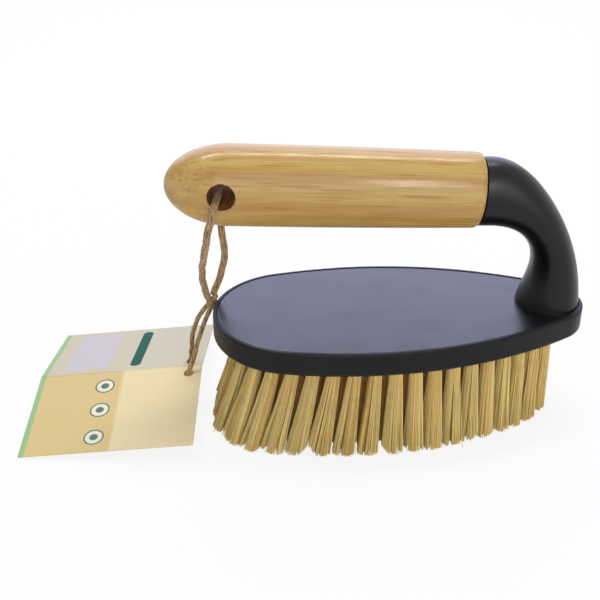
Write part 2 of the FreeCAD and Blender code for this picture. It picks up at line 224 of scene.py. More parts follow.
@dataclass(frozen=True)
class MouldedPlastic(Finish):
    """ABS moulded black. A spark-eroded tool leaves a fine grain, which spreads the highlights."""

    colour: str
    roughness: float
    grain_mm: float
    grain_depth_mm: float
    worn: str = "#17181A"
    gloss: float = 0.3
    spread: Span = (0.85, 1.2)
    handling_mm: float = 14.0
    handling_range: Span = (0.3, 0.7)
    deck_level: float | None = None
    deck_edge: Span = (0.6 * MM, 0.1 * MM)
    deck_roughness: float = 0.0
    deck_spread: Span = (0.8, 1.25)
    deck_gloss: float = 0.5
    deck_grain: float = 0.12

    def look(self, paint: Paint) -> dict:
        """Grained and handled, and glossier below the deck level where one is given.

        Args:
            paint: Adds the nodes.

        Returns:
            The shader's values and sockets.
        """
        place = paint.place()
        grain = paint.noise(place, self.grain_mm, detail=2.0)
        handled = paint.noise(place, self.handling_mm, detail=4.0)
        spread = [self.roughness * share for share in self.spread]
        roughness = paint.ramp(handled, *self.handling_range, *spread)
        gloss: float | Socket = self.gloss
        strength: float | Socket = 1.0
        if self.deck_level is not None:
            edge = [self.deck_level + rise for rise in self.deck_edge]
            on_deck = paint.ramp(paint.axes(place)["Z"], *edge)
            spread = [self.deck_roughness * share for share in self.deck_spread]
            smear = paint.ramp(handled, *self.handling_range, *spread)
            roughness = paint.add("Mix", 0, {0: on_deck, 2: roughness, 3: smear})
            strength = paint.ramp(on_deck, 0.0, 1.0, 1.0, self.deck_grain)
            gloss = paint.ramp(on_deck, 0.0, 1.0, self.gloss, self.deck_gloss)
        return {
            "Base Color": paint.mix(handled, self.colour, self.worn),
            "Normal": paint.relief(grain, self.grain_depth_mm, strength),
            "Roughness": roughness, "Specular IOR Level": gloss}


@dataclass(frozen=True)
class VarnishedBamboo(Finish):
    """Pressed bamboo strips under clear varnish: long fibre streaks below a smooth glossy coat."""

    origin: Vector
    turn: float
    pale: str = "#C6A864"
    strips: Layer = Layer("#B18A48", (0.36, 0.66), 5.0, 2.0, (1 / 30, 1.0, 1.0))
    streaks: Layer = Layer("#A37028", (0.53, 0.7, 0.0, 0.75), 0.8, 3.0, (1 / 28, 1.0, 1.0))
    fibres: Layer = Layer("#A37028", (0.5, 0.72, 0.0, 0.45), 0.42, 2.0, (1 / 36, 1.0, 1.0))
    pores: Layer = Layer("#A37028", (0.0, 1.0, 0.0, 0.0), 0.8, 2.0, (1 / 6, 1.0, 1.0))
    relief_mm: float = 0.04

    def look(self, paint: Paint) -> dict:
        """Grain along the grip's axis, whose pores show in the relief alone.

        Args:
            paint: Adds the nodes.

        Returns:
            The shader's values and sockets.
        """
        axis = {"Vector": paint.place(), "Location": self.origin, "Rotation": (0.0, self.turn, 0.0)}
        along = paint.add("Mapping", "Vector", axis, vector_type="TEXTURE")
        colour, grain = paint.lay(self.pale, along, self.strips, self.streaks, self.fibres, self.pores)
        height = grain[1]
        for finer in grain[2:]:
            height = paint.add("Math", "Value", {0: height, 1: finer}, operation="ADD")
        normal = paint.relief(height, self.relief_mm, strength=0.7)
        return {
            "Base Color": colour, "Normal": normal, "Coat Normal": normal,
            "Roughness": 0.45, "Specular IOR Level": 0.12,
            "Coat Weight": 0.36, "Coat IOR": 1.8, "Coat Roughness": 0.14}


@dataclass(frozen=True)
class DrilledBamboo(Finish):
    """Bare bamboo in a drilled hole: dull, darkened by the drill, with torn fibre ends."""

    colour: str = "#B8803F"
    burnt: Layer = Layer("#6A4418", (0.35, 0.65), 0.9, 4.0)
    relief_mm: float = 0.2

    def look(self, paint: Paint) -> dict:
        """Burnt in patches."""
        colour, (torn,) = paint.lay(self.colour, paint.place(), self.burnt)
        return {
            "Base Color": colour, "Normal": paint.relief(torn, self.relief_mm, strength=0.8),
            "Roughness": 0.85, "Specular IOR Level": 0.15}


@dataclass(frozen=True)
class PlantFibre(Finish):
    """Stiff leaf fibre, straw yellow, each fibre a little lighter or browner than the next, with painted
    shade towards the block.
    """

    straw: str = "#EDD282"
    pale: Layer = Layer("#F8E7A6")
    brown: Layer = Layer("#CE9C40", (0.22, 0.0, 0.0, 0.8))
    knots: Layer = Layer("#CE9C40", (0.45, 0.8, 0.0, 0.25), 4.0)
    # Painted shade: this colour is laid over the fibres towards the block, standing in for the shade of the
    # block and the tufts.
    painted_shade: str = "#B07A30"
    painted_shade_share: float = 0.22
    painted_shade_low: float = 10.0 * MM
    painted_shade_high: float = 37.0 * MM

    def look(self, paint: Paint) -> dict:
        """One tone for each fibre, and painted shade that browns the fibres towards the block.

        Args:
            paint: Adds the nodes.

        Returns:
            The shader's values and sockets.
        """
        place = paint.place()
        colour, _ = paint.lay(self.straw, place, self.pale, self.brown, self.knots)
        # Painted shade: the fibres are browned more the nearer they are to the block.
        root = paint.ramp(paint.axes(place)["Z"], self.painted_shade_low, self.painted_shade_high, 0.0, self.painted_shade_share)
        return {
            "Base Color": paint.mix(root, colour, self.painted_shade), "Roughness": 0.5, "Specular IOR Level": 0.35}


@dataclass(frozen=True)
class JuteTwine(Finish):
    """Spun jute: dull brown bast fibres that run along each ply."""

    dark: str = "#5E4628"
    fibres: Layer = Layer("#BDA070", (0.4, 0.6), 0.6, 3.0, (1.0, 1.0, 0.22))
    patches: Layer = Layer("#9A774B", (0.4, 0.7, 0.0, 0.4), 3.0)
    plies: Layer = Layer("#D8BE95", (0.0, 1.0, 0.0, 0.2))
    relief_mm: float = 0.06

    def look(self, paint: Paint) -> dict:
        """Fibres drawn out along the hanging strands."""
        colour, heights = paint.lay(self.dark, paint.place(), self.fibres, self.patches, self.plies)
        return {
            "Base Color": colour, "Normal": paint.relief(heights[0], self.relief_mm, strength=0.6),
            "Roughness": 0.85, "Specular IOR Level": 0.2, "Sheen Weight": 0.25}


@dataclass(frozen=True)
class PrintShape:
    """A plain rounded shape printed on a panel: along the ridge, down from it, in metres."""

    centre: tuple[float, float]
    half: tuple[float, float]
    corner: float
    tint: str
    soft: float = 0.08 * MM

    def share(self, paint: Paint, flat: Socket) -> Socket:
        """Where the shape covers the card.

        Args:
            paint: Adds the nodes.
            flat: Place in the panel's own axes.

        Returns:
            Socket that is 1 on the shape and 0 beside it.
        """
        value = flat
        none = (0.0, 0.0, 0.0)
        inner = (self.half[0] - self.corner, self.half[1] - self.corner, 1.0)
        steps = (
            ("SUBTRACT", (*self.centre, 0.0)), ("ABSOLUTE", none), ("SUBTRACT", inner), ("MAXIMUM", none))
        for operation, second in steps:
            value = paint.add("VectorMath", "Vector", {0: value, 1: second}, operation=operation)
        reach = paint.add("VectorMath", "Value", {0: value}, operation="LENGTH")
        return paint.ramp(reach, self.corner + self.soft, self.corner - self.soft)


@dataclass(frozen=True)
class PrintedCard(Finish):
    """Uncoated card printed in flat tints and plain shapes, with a green band along its outer end."""

    origin: Vector
    turn: tuple[float, float, float]
    first_tint: str
    second_tint: str
    change: float
    shapes: tuple[PrintShape, ...]
    outer: float
    change_soft: float = 0.8 * MM
    band: float = 2.2 * MM
    band_soft: float = 0.15 * MM
    green: str = "#9CC38A"
    inside: str = "#DDD2B4"
    card: float = 0.5 * MM
    ink_range: Span = (0.4, 0.6)
    specks: Layer = Layer("#A8925F", (0.3, 0.75, 0.0, 0.1), 0.8, 4.0)
    relief_mm: float = 0.03

    def look(self, paint: Paint) -> dict:
        """Print in the panel's own axes, along the ridge and down from it.

        Args:
            paint: Adds the nodes.

        Returns:
            The shader's values and sockets.
        """
        place = paint.place()
        panel = {"Vector": place, "Location": self.origin, "Rotation": self.turn}
        flat = paint.add("Mapping", "Vector", panel, vector_type="TEXTURE")
        axes = paint.axes(flat)
        halves = paint.ramp(axes["X"], self.change - self.change_soft, self.change + self.change_soft)
        colour = paint.mix(halves, self.first_tint, self.second_tint)
        for shape in self.shapes:
            colour = paint.mix(shape.share(paint, flat), colour, shape.tint)
        band = paint.ramp(axes["X"], self.band + self.band_soft, self.band - self.band_soft)
        colour = paint.mix(band, colour, self.green)
        depths = [self.outer * self.card * share for share in self.ink_range]
        colour = paint.mix(paint.ramp(axes["Z"], *depths), self.inside, colour)
        colour, (pulp,) = paint.lay(colour, place, self.specks)
        return {
            "Base Color": colour, "Normal": paint.relief(pulp, self.relief_mm, strength=0.4),
            "Roughness": 0.8, "Specular IOR Level": 0.1}


@dataclass(frozen=True)
class ZincSteel(Finish):
    """Zinc-plated steel, drawn or rolled, with a faint cloudy bloom."""

    colour: str = "#B9BCC0"
    bloom: Layer = Layer("#8E8F8C", size_mm=1.2, detail=3.0)
    spread: Span = (0.25, 0.5)

    def look(self, paint: Paint) -> dict:
        """Duller where the bloom is."""
        colour, (cloud,) = paint.lay(self.colour, paint.place(), self.bloom)
        return {
            "Base Color": colour, "Roughness": paint.ramp(cloud, 0.0, 1.0, *self.spread), "Metallic": 1.0}


@dataclass(frozen=True)
class PalePaper(Finish):
    """Matt pale paper, as a studio floor."""

    colour: str = "#F4F4F4"

    def look(self, paint: Paint) -> dict:
        """One even tone."""
        return {"Base Color": linear(self.colour), "Roughness": 0.9, "Specular IOR Level": 0.1}


def show(name: str, data: bpy.types.ID) -> Object:
    """Put an object with the given data into the scene.

    Args:
        name: Name of the object.
        data: Its mesh, curve, lamp or camera.

    Returns:
        The object.
    """
    item = bpy.data.objects.new(name, data)
    bpy.context.scene.collection.objects.link(item)
    return item


@dataclass(frozen=True)
class Crossing:
    """Where a soft piece goes over from its body to the next one."""

    body: Body
    start: Vector
    end: Vector


def make_piece(name: str, mesh: Mesh, material: Material, body: Body,
               nodes: Iterable[str] = (), crossing: Crossing | None = None) -> Object:
    """Place a finished mesh on its body, or leave it in the shared frame where a crossing is given.

    Args:
        name: Name of the piece.
        mesh: Its mesh, in the shared frame.
        material: Its finish.
        body: The body that it rides on.
        nodes: Solids that it stands for.
        crossing: Where it goes over to a second body; a piece given one is left in the shared frame, on no
            body.

    Returns:
        The new object.
    """
    mesh.name = name
    mesh.materials.clear()
    mesh.materials.append(material)
    piece = show(name, mesh)
    if crossing:
        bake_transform(piece)
    else:
        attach(piece, body.value)
    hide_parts(*nodes)
    LOG.info("%s: %d faces on %s", name, len(mesh.polygons), body.value)
    return piece


def dress_node(name: str, material: Material) -> None:
    """Give a carried-over solid its finish.

    Args:
        name: The solid's node.
        material: Its finish.
    """
    mesh = frame["nodes"][name].data
    mesh.materials.clear()
    mesh.materials.append(material)
    LOG.info("%s: dressed with %s", name, material.name)


def shape_to_mesh(shape: bmesh.types.BMesh, name: str) -> Mesh:
    """Turn a finished shape into a mesh and free the shape.

    Args:
        shape: The shape.
        name: Name of the mesh.

    Returns:
        The mesh.
    """
    mesh = bpy.data.meshes.new(name)
    shape.to_mesh(mesh)
    shape.free()
    return mesh


def curve_to_mesh(curve: bpy.types.Curve) -> Mesh:
    """Turn a curve into a mesh and remove the curve.

    Args:
        curve: Curve data with its splines.

    Returns:
        The mesh that the curve shows.
    """
    holder = show("holder", curve)
    graph = bpy.context.evaluated_depsgraph_get()
    mesh = bpy.data.meshes.new_from_object(holder.evaluated_get(graph))
    bpy.data.objects.remove(holder)
    bpy.data.curves.remove(curve)
    return mesh


def smooth_line(points: Sequence[Sequence[float]]) -> list[Vector]:
    """Points of the smooth line that has the given control points.

    Args:
        points: Control points, in millimetres.

    Returns:
        Points along the line, in metres.
    """
    curve = bpy.data.curves.new("route", "CURVE")
    curve.dimensions = "3D"
    curve.resolution_u = LINE_STEPS
    spline = curve.splines.new("NURBS")
    spline.points.add(len(points) - 1)
    for point, place in zip(spline.points, points):
        point.co = (*(Vector(place) * MM), 1.0)
    spline.order_u = 3
    spline.use_endpoint_u = True
    mesh = curve_to_mesh(curve)
    line = [vertex.co.copy() for vertex in mesh.vertices]
    bpy.data.meshes.remove(mesh)
    return line


def tubes(lines: Sequence[Line], sides: int) -> Mesh:
    """Sweep a small polygon along lines.

    Args:
        lines: Points with the radius at each.
        sides: Corners of the swept polygon.

    Returns:
        One mesh with a closed tube for each line.
    """
    section = bpy.data.curves.new("section", "CURVE")
    outline = section.splines.new("POLY")
    outline.points.add(sides - 1)
    for index, point in enumerate(outline.points):
        angle = math.tau * index / sides
        point.co = (math.cos(angle), math.sin(angle), 0.0, 1.0)
    outline.use_cyclic_u = True
    profile = show("section", section)
    curve = bpy.data.curves.new("tubes", "CURVE")
    curve.dimensions = "3D"
    curve.bevel_mode = "OBJECT"
    curve.bevel_object = profile
    curve.use_fill_caps = True
    for line in lines:
        spline = curve.splines.new("POLY")
        spline.points.add(len(line) - 1)
        spline.points.foreach_set("co", [part for place, _ in line for part in (*place, 1.0)])
        spline.points.foreach_set("radius", [radius for _, radius in line])
        spline.use_smooth = True
    mesh = curve_to_mesh(curve)
    bpy.data.objects.remove(profile)
    bpy.data.curves.remove(section)
    return mesh


def turned_frames(line: Sequence[Vector]) -> list[tuple[Vector, Vector, float]]:
    """Two directions across a line at each point, carried along without twist.

    Args:
        line: Points of the line.

    Returns:
        Both directions and the distance from the start, for each point.
    """
    tangents = [(after - before).normalized() for before, after in zip(line, line[1:])]
    tangents.append(tangents[-1])
    across = tangents[0].orthogonal().normalized()
    distance = 0.0
    found = []
    for index, tangent in enumerate(tangents):
        if index:
            across = tangents[index - 1].rotation_difference(tangent) @ across
            distance += (line[index] - line[index - 1]).length
        found.append((across.copy(), tangent.cross(across), distance))
    return found


@dataclass(frozen=True)
class TuftEnd:
    """A tuft's trimmed end: squarish, pressed against its neighbours, with one corner cut back."""

    centre: Vector
    side: Vector
    width: float
    depth: float
    slant: float
    corner: float
    corner_slope: float
    clumps: tuple[Vector, ...]
    squareness: float = 5.0
    pull: float = 0.22
    least: float = 1e-9

    def step(self, share: Vector, width: float, depth: float) -> Vector:
        """Level step from the tuft's middle for a place in the unit circle, by half width and depth."""
        across = Vector((-self.side.y, self.side.x, 0.0))
        return self.side * (share.x * width) + across * (share.y * depth)

    def place(self, share: Vector) -> Vector:
        """Where a fibre ends.

        Args:
            share: The fibre's place in the unit circle.

        Returns:
            Its end on the cut.
        """
        clump = min(self.clumps, key=lambda middle: (middle - share).length_squared)
        drawn = share.lerp(clump, self.pull)
        total = abs(drawn.x) ** self.squareness + abs(drawn.y) ** self.squareness
        squared = drawn * (drawn.length / max(total, self.least) ** (1 / self.squareness))
        towards = squared.x * math.copysign(1.0, self.slant)
        rise = abs(self.slant) * max(0.0, towards) + self.corner_slope * max(0.0, towards - self.corner)
        lift = Vector((0.0, 0.0, rise * self.width))
        return self.centre + self.step(squared, self.width, self.depth) + lift


@dataclass
class TuftGroup:
    """One ring or row of tufts, drawn fibre by fibre."""

    group: str
    fibres: int
    seed: int
    root_radius: float = 2.4 * MM
    root_level: float = 35.8 * MM
    sunk: float = 1.2 * MM
    weld: float = 0.001 * MM
    level_slack: float = 0.01 * MM
    tip_width: float = 5.2 * MM
    tip_depth: float = 4.3 * MM
    gap_share: Span = (0.96, 1.12)
    clumps: int = 9
    slant: float = 0.3
    cut_chance: float = 0.6
    cut_slope: Span = (0.6, 1.2)
    cut_place: Span = (0.1, 0.7)
    fibre_radius: float = 0.17 * MM
    fibre_sides: int = 3
    radius_share: Span = (0.8, 1.2)
    tip_taper: float = 0.85
    jitter_mm: float = 0.1
    stray_chance: float = 0.006
    stray_reach: float = 14.0
    trim_mm: float = 0.1
    trim_rate: float = 20.0
    bow_mm: float = 0.06
    bow_out: float = 0.03
    toe_lean: float = 1.13
    toe_flare: float = 2.4 * MM
    toe_centre: float = -42.0 * MM
    heel_flare: float = 2.6 * MM
    heel_start: float = 28.0 * MM
    heel_run: float = 26.0 * MM
    heel_width: float = 12.0 * MM

    def places(self) -> list[tuple[Vector, Vector]]:
        """Read the tufts' root and tip centres from their solids.

        Returns:
            Root and tip of each tuft, in a fixed order.
        """
        shell = bmesh.new()
        shell.from_mesh(frame["nodes"][self.group + "_tufts"].data)
        bmesh.ops.remove_doubles(shell, verts=shell.verts, dist=self.weld)
        left = set(shell.verts)
        found = []
        while left:
            island = {left.pop()}
            edge = list(island)
            while edge:
                near = {link.other_vert(vert) for vert in edge for link in vert.link_edges}
                edge = list(near - island)
                island |= near
            left -= island
            rings = []
            for level in (self.root_level, 0.0):
                ring = [vert.co for vert in island if abs(vert.co.z - level) < self.level_slack]
                rings.append(Vector([(min(axis) + max(axis)) / 2 for axis in zip(*ring)]))
            found.append((rings[0], rings[1]))
        shell.free()
        return sorted(found, key=lambda pair: (round(pair[0].x, 5), round(pair[0].y, 5)))

    def lean(self, root: Vector, tip: Vector) -> Vector:
        """Lean the tufts further at the toe, and splay the near side's at the toe and the heel.

        Args:
            root: Centre of the tuft at the block.
            tip: Centre of the solid's tip.

        Returns:
            Centre of the drawn tip.
        """
        moved = tip.copy()
        if root.x < 0:
            moved.x = root.x + (tip.x - root.x) * self.toe_lean
        if root.x < self.toe_centre and root.y < 0:
            turn = math.atan2(-root.y, self.toe_centre - root.x)
            flare = self.toe_flare * math.sin(2 * turn)
            moved.x -= flare * math.cos(turn)
            moved.y -= flare * math.sin(turn)
        if root.x > self.heel_start and root.y < 0:
            along = min(1.0, (root.x - self.heel_start) / self.heel_run)
            moved.y -= self.heel_flare * along * min(1.0, -root.y / self.heel_width)
        return moved

    def end(self, tip: Vector, tips: Sequence[Vector], rng: random.Random) -> TuftEnd:
        """Trim a tuft against its nearest neighbour.

        Args:
            tip: Centre of the tuft's tip.
            tips: Those of the whole group.
            rng: The group's random numbers.

        Returns:
            The tuft's end.
        """
        gap = min((other - tip for other in tips if other is not tip), key=lambda step: step.length)
        width = min(self.tip_width, gap.length / 2 * rng.uniform(*self.gap_share))
        clumps = []
        for _ in range(self.clumps):
            reach, turn = math.sqrt(rng.random()), rng.uniform(0, math.tau)
            clumps.append(Vector((reach * math.cos(turn), reach * math.sin(turn), 0.0)))
        slant = rng.uniform(-self.slant, self.slant)
        cut = rng.uniform(*self.cut_slope) if rng.random() < self.cut_chance else 0.0
        corner = rng.uniform(*self.cut_place)
        return TuftEnd(tip, gap.normalized(), width, self.tip_depth, slant, corner, cut, tuple(clumps))

    def fibre(self, number: int, root: Vector, end: TuftEnd, rng: random.Random) -> Line:
        """Draw one fibre from the block to its cut end.

        Args:
            number: The fibre's number, from the middle of the tuft outwards.
            root: Centre of the tuft at the block.
            end: The tuft's trimmed end.
            rng: The group's random numbers.

        Returns:
            Points with radii.
        """
        reach = math.sqrt((number + 0.5) / self.fibres)
        angle = number * GOLDEN_ANGLE
        share = Vector((reach * math.cos(angle), reach * math.sin(angle), 0.0))
        start = root + end.step(share, self.root_radius, self.root_radius)
        start.z += self.sunk
        jitter = Vector((rng.gauss(0, self.jitter_mm), rng.gauss(0, self.jitter_mm), 0.0)) * MM
        if rng.random() < self.stray_chance:
            jitter *= self.stray_reach
        finish = end.place(share) + jitter
        finish.z += (self.trim_mm + rng.expovariate(self.trim_rate)) * MM
        bow = Vector((rng.gauss(0, self.bow_mm), rng.gauss(0, self.bow_mm), 0.0)) * MM
        thick = self.fibre_radius * rng.uniform(*self.radius_share)
        level_step = (finish - start) * Vector((1.0, 1.0, 0.0))
        middle = start.lerp(finish, 0.5) + bow - level_step * self.bow_out
        return [(start, thick), (middle, thick), (finish, self.tip_taper * thick)]

    def build(self, material: Material) -> Object:
        """Make the group's piece.

        Args:
            material: The fibres' finish.

        Returns:
            The piece, which stands for the group's solids.
        """
        rng = random.Random(self.seed)
        tufts = [(root, self.lean(root, tip)) for root, tip in self.places()]
        tips = [tip for _, tip in tufts]
        lines = []
        for root, tip in tufts:
            end = self.end(tip, tips, rng)
            lines += [self.fibre(number, root, end, rng) for number in range(self.fibres)]
        nodes = [self.group + "_tufts"]
        mesh = tubes(lines, self.fibre_sides)
        return make_piece(self.group + "_bristles", mesh, material, Body.BRUSH, nodes)


@dataclass
class Grip:
    """Bamboo grip: a barrel that swells to a rounded nose, with a hang hole and a spigot bore."""

    end: Vector
    rise: float
    length: float = 119.8 * MM
    end_height: float = 29.5 * MM
    swell: float = 1.0 * MM
    depth: float = 26.0 * MM
    nose: float = 25.0 * MM
    end_round: float = 2.6 * MM
    hole: float = 10.5 * MM
    hole_place: float = 21.0 * MM
    bore: float = 13.3 * MM
    bore_length: float = 26.15 * MM
    around: int = 96
    hole_sides: int = 64
    end_steps: int = 6
    body_steps: int = 30
    nose_steps: int = 18
    sharp: float = math.radians(38)

    @property
    def body(self) -> float:
        """Length of the barrel before the nose."""
        return self.length - self.nose

    @property
    def half(self) -> float:
        """Half height where the grip is thickest."""
        return self.end_height / 2 + self.swell

    def half_height(self, along: float) -> tuple[float, float]:
        """Half height and rounding inset of the grip at a distance from its end.

        Args:
            along: Distance from the end at the arm.

        Returns:
            Half height, and how far the section is drawn in.
        """
        if along > self.body:
            return self.half * math.sqrt(max(0.0, 1 - ((along - self.body) / self.nose) ** 2)), 0.0
        radius = (self.body ** 2 + self.swell ** 2) / (2 * self.swell)
        rise = math.sqrt(radius ** 2 - (self.body - along) ** 2) - radius
        inset = 0.0
        if along < self.end_round:
            inset = self.end_round - math.sqrt(self.end_round ** 2 - (self.end_round - along) ** 2)
        return self.half + rise, inset

    def stations(self) -> list[float]:
        """Where the grip's section is drawn.

        Returns:
            Distances from the end at the arm.
        """
        quarter = math.pi / 2
        straight = self.body - self.end_round
        steps = [
            self.end_round * (1 - math.cos(quarter * index / self.end_steps))
            for index in range(self.end_steps)]
        steps += [
            self.end_round + straight * index / self.body_steps for index in range(self.body_steps + 1)]
        steps += [
            self.body + self.nose * math.sin(quarter * index / self.nose_steps)
            for index in range(1, self.nose_steps)]
        return steps

    def barrel(self) -> Mesh:
        """Draw the grip before it is drilled.

        Returns:
            The closed grip, along X from its end.
        """
        shape = bmesh.new()
        share = self.depth / 2 / self.half
        ring = bmesh.ops.create_circle(shape, segments=self.around, radius=1.0)["verts"]
        bmesh.ops.rotate(shape, verts=ring, matrix=Matrix.Rotation(math.pi / 2, 3, "Y"))
        unit = [vert.co.copy() for vert in ring]
        loops = [(ring, list(shape.edges))]
        for _ in self.stations()[1:]:
            before, edges = loops[-1]
            made = bmesh.ops.extrude_edge_only(shape, edges=edges)["geom"]
            fresh = {vert for vert in made if isinstance(vert, bmesh.types.BMVert)}
            edges = [item for item in made if isinstance(item, bmesh.types.BMEdge)]
            follow = []
            for vert in before:
                others = (link.other_vert(vert) for link in vert.link_edges)
                follow.append(next(other for other in others if other in fresh))
            loops.append((follow, [item for item in edges if set(item.verts) <= fresh]))
        for along, (verts, _) in zip(self.stations(), loops):
            half, inset = self.half_height(along)
            for place, vert in zip(unit, verts):
                vert.co = (along, place.y * (half * share - inset), place.z * (half - inset))
        tip = shape.verts.new((self.length, 0.0, 0.0))
        last = loops[-1][0]
        for vert, following in zip(last, last[1:] + last[:1]):
            shape.faces.new((vert, following, tip))
        bmesh.ops.contextual_create(shape, geom=loops[0][1])
        bmesh.ops.recalc_face_normals(shape, faces=shape.faces)
        return shape_to_mesh(shape, "grip_body")

    def drill(self, body: Mesh) -> Mesh:
        """Cut the hang hole and the spigot bore.

        Args:
            body: The closed grip, along X from its end.

        Returns:
            The cut mesh.
        """
        holder = show("grip_body", body)
        hole_at = Matrix.Translation((self.length - self.hole_place, 0.0, 0.0))
        cuts = (
            (hole_at @ Matrix.Rotation(math.pi / 2, 4, "X"), self.hole / 2, 2 * self.depth),
            (Matrix.Rotation(math.pi / 2, 4, "Y"), self.bore / 2, 2 * self.bore_length),
        )
        cutters = []
        for place, radius, depth in cuts:
            shape = bmesh.new()
            bmesh.ops.create_cone(
                shape, cap_ends=True, segments=self.hole_sides, radius1=radius, radius2=radius,
                depth=depth, matrix=place)
            cutters.append(show("cutter", shape_to_mesh(shape, "cutter")))
            drill = holder.modifiers.new("drill", "BOOLEAN")
            drill.operation = "DIFFERENCE"
            drill.solver = "EXACT"
            drill.object = cutters[-1]
        graph = bpy.context.evaluated_depsgraph_get()
        result = bpy.data.meshes.new_from_object(holder.evaluated_get(graph))
        for item in (holder, *cutters):
            bpy.data.objects.remove(item)
        return result

    def build(self, material: Material, drilled: Material) -> Object:
        """Make the grip's piece.

        Args:
            material: Its outer finish.
            drilled: The finish of the hang hole's wall.

        Returns:
            The piece, which stands for the grip's solid.
        """
        mesh = self.drill(self.barrel())
        hole_at = Vector((self.length - self.hole_place, 0.0))
        wall = [face.index for face in mesh.polygons if (face.center.xz - hole_at).length < self.hole / 2]
        mesh.transform(Matrix.Translation(self.end) @ Matrix.Rotation(math.pi + self.rise, 4, "Y"))
        mesh.shade_smooth()
        mesh.set_sharp_from_angle(angle=self.sharp)
        piece = make_piece("bamboo_grip", mesh, material, Body.BRUSH, ["grip"])
        mesh.materials.append(drilled)
        for index in wall:
            mesh.polygons[index].material_index = 1
        return piece


@dataclass
class TwineHanger:
    """Jute twine through the grip's nose, knotted, with two tails down to the tag. Routes are in mm."""

    diameter: float = 3.0 * MM
    tail_diameter: float = 2.1 * MM
    plies: int = 3
    ply_sides: int = 10
    ply_share: float = 0.64
    lay: float = 38.0 * MM
    swell: float = 0.05
    swell_rate: float = 0.9
    swell_shift: float = 2.0
    fray_length: float = 2.9 * MM
    fray_rise: float = 1.7 * MM
    fray: float = 1.2
    left_fray_share: float = 0.7
    hairs_per_mm: float = 0.7
    hair_root: float = 0.42
    hair_reach_mm: Span = (1.0, 2.4)
    hair_stand_mm: Span = (0.1, 0.5)
    hair_radii_mm: Span = (0.05, 0.045, 0.03)
    hair_bend: float = 0.7
    hair_sides: int = 3
    knot_size: float = 7.8 * MM
    tag_knot_size: float = 5.2 * MM
    knot_steps: int = 18
    knot_rise: float = 1.25
    knot_turn: float = math.radians(50)
    knot_tilt: float = math.radians(80)
    tag_knot_tilt: float = 0.3
    seed: int = 71
    loop: tuple = (
        (-76.9, 13.4, 46.0), (-78.3, 9.6, 53.4), (-78.6, 4.4, 61.0), (-78.1, -1.8, 68.4),
        (-76.9, -8.2, 76.2), (-75.9, -12.9, 83.8), (-74.6, -14.8, 90.2), (-73.0, -15.0, 95.4),
        (-72.0, -12.2, 98.1), (-71.5, -7.4, 98.1), (-70.6, 0.1, 97.8), (-69.8, 7.4, 98.1),
        (-69.8, 12.2, 98.1), (-70.7, 15.0, 95.3), (-71.5, 14.9, 89.8), (-71.0, 13.8, 82.0),
        (-69.8, 13.3, 73.2), (-69.2, 13.5, 64.8), (-70.8, 14.1, 56.8), (-73.4, 14.9, 50.2),
        (-74.6, 15.6, 46.2),
    )
    left_tail: tuple = (
        (-77.2, 14.9, 41.9), (-80.6, 15.6, 36.8), (-83.3, 16.5, 30.6), (-84.6, 17.1, 24.2),
        (-84.9, 17.2, 18.4), (-85.66, 16.57, 12.0),
    )
    right_tail: tuple = (
        (-75.4, 14.1, 41.7), (-77.7, 13.0, 37.2), (-80.2, 11.8, 31.6), (-82.2, 10.3, 25.6),
        (-84.1, 8.8, 19.6), (-85.9, 7.8, 14.8), (-86.4, 7.8, 11.6),
    )
    knot_centre: tuple = (-75.0, 14.4, 43.4)
    tag_knot_centre: tuple = (-86.4, 7.8, 10.1)
    tail_hold: tuple = (-84.7, 17.1, 22.0)
    tail_end: tuple = (-85.6, 16.6, 13.2)

    def hairs(self, line: Sequence[Vector], frames: Sequence[tuple], rng: random.Random,
              diameter: float) -> list[Line]:
        """Loose fibres that stand off the twine.

        Args:
            line: Points of the twine's middle line.
            frames: Both directions across it and the distance, at each point.
            rng: The twine's random numbers.
            diameter: The twine's thickness.

        Returns:
            Points with radii, for each fibre.
        """
        found: list[Line] = []
        for _ in range(int(frames[-1][2] / MM * self.hairs_per_mm)):
            index = rng.randrange(1, len(line) - 2)
            across, other, _ = frames[index]
            angle = rng.uniform(0, math.tau)
            out = across * math.cos(angle) + other * math.sin(angle)
            ahead = (line[index + 1] - line[index]).normalized() * rng.choice((-1, 1))
            start = line[index] + out * (diameter * self.hair_root)
            reach = rng.uniform(*self.hair_reach_mm) * MM
            stand = rng.uniform(*self.hair_stand_mm) * MM
            middle = start + ahead * reach * 0.5 + out * stand * self.hair_bend
            finish = start + ahead * reach + out * stand
            radii = [radius * MM for radius in self.hair_radii_mm]
            found.append(list(zip((start, middle, finish), radii)))
        return found

    def strands(self, line: Sequence[Vector], rng: random.Random, diameter: float, fuzz: bool = True,
                flare: float = 0.0) -> Mesh:
        """Twist the plies round a line and let a few fibres stand off.

        Args:
            line: Points of the twine's middle line.
            rng: The twine's random numbers.
            diameter: The twine's thickness.
            fuzz: Whether loose fibres stand off.
            flare: How much wider the frayed end is, as a share of the thickness.

        Returns:
            The twine's mesh.
        """
        frames = turned_frames(line)
        whole = frames[-1][2]
        ply = diameter / 2 * self.ply_share
        offset = diameter / 2 - ply
        lines: list[Line] = []
        for number in range(self.plies):
            strand: Line = []
            for place, (across, other, distance) in zip(line, frames):
                angle = math.tau * (distance / self.lay + number / self.plies)
                into_fray = (self.fray_length - whole + distance) / self.fray_rise
                frayed = 1.0 + flare * min(1.0, max(0.0, into_fray))
                wave = math.sin(distance / MM * self.swell_rate + number * self.swell_shift)
                out = across * math.cos(angle) + other * math.sin(angle)
                strand.append((place + out * offset * frayed, ply * (frayed * (1.0 + self.swell * wave))))
            lines.append(strand)
        mesh = tubes(lines, self.ply_sides)
        if not fuzz:
            return mesh
        both = bmesh.new()
        both.from_mesh(mesh)
        fluff = tubes(self.hairs(line, frames, rng, diameter), self.hair_sides)
        both.from_mesh(fluff)
        both.to_mesh(mesh)
        both.free()
        bpy.data.meshes.remove(fluff)
        return mesh

